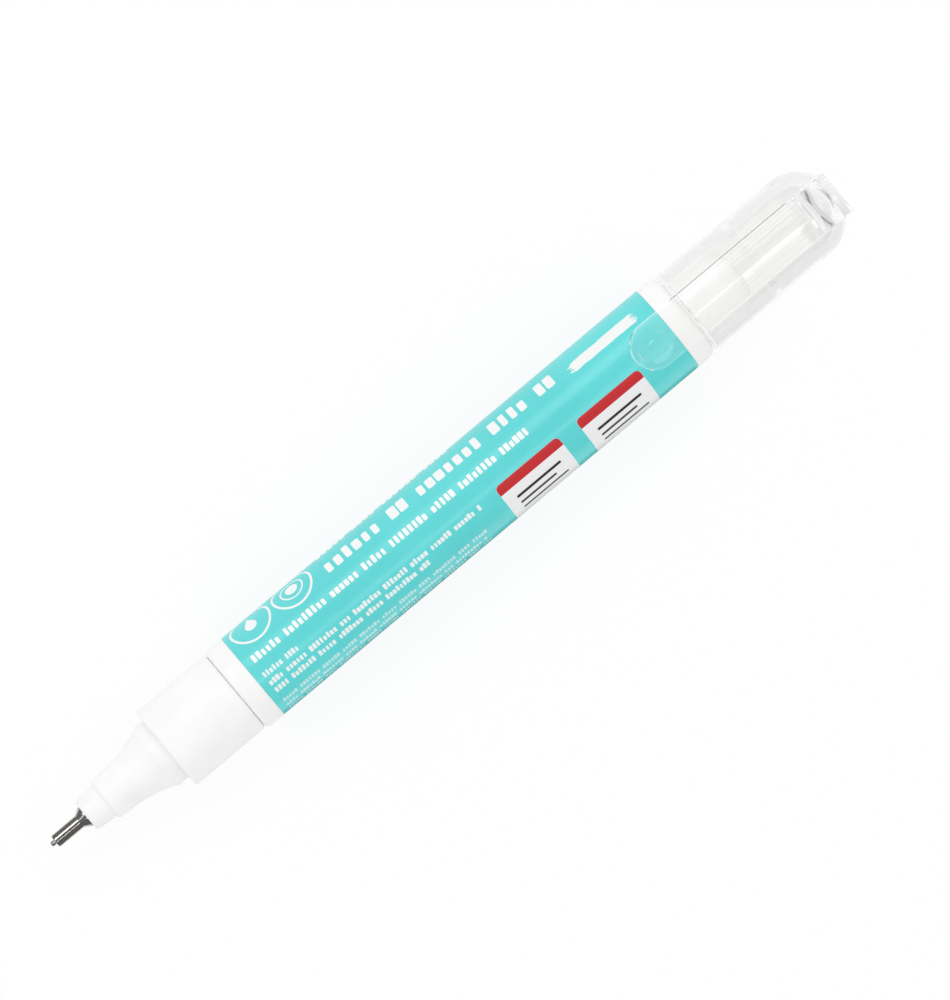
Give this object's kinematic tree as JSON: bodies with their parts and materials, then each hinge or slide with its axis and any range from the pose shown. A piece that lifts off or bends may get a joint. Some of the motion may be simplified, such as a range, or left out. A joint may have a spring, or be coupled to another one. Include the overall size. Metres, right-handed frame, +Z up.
{
  "type": "correction pen",
  "caption": "Squeeze pen for correction fluid: white barrel in a teal sleeve, waisted cone with a sprung needle in a metal tip, and a clear clip cap posted on the rear.",
  "frame": {"origin": "on the surface that the barrel lies on, under the middle of the pen's length", "axes": "+X along the pen from the tip to the cap, +Z up with the clip on top, +Y across"},
  "size_m": [0.156, 0.015, 0.017],
  "materials": {
    "white_squeeze_plastic": "soft white polyethylene with a satin gloss",
    "teal_film": "glossy printed shrink film",
    "white_hard_plastic": "white moulded polypropylene, fine satin",
    "nickel_plate": "bright nickel plate with turning marks",
    "steel": "bright drawn steel",
    "natural_plastic": "uncoloured acetal",
    "clear_plastic": "clear polystyrene, polished mould"
  },
  "bodies": {
    "pen": {"barrel": "white_squeeze_plastic", "label": "teal_film", "front_section": "white_hard_plastic", "tip_holder": "white_hard_plastic", "metal_tip": "nickel_plate", "valve_spring": "steel", "spring_retainer": "natural_plastic"},
    "needle": {"valve_needle": "steel", "needle_plunger": "natural_plastic"},
    "ball": {"mixing_ball": "steel"},
    "cap": {"cap": "clear_plastic"}
  },
  "joints": [
    {"name": "cap_pull", "type": "slide", "parent": "pen", "child": "cap", "axis": [1, 0, 0], "range_m": [0, 0.03]},
    {"name": "needle_press", "type": "slide", "parent": "pen", "child": "needle", "axis": [1, 0, 0], "range_m": [0, 0.0006], "stiffness_N_per_m": 300, "deforming": ["valve_spring"]},
    {"name": "ball_roll", "type": "slide", "parent": "pen", "child": "ball", "axis": [1, 0, 0], "range_m": [-0.021, 0.053]}
  ]
}
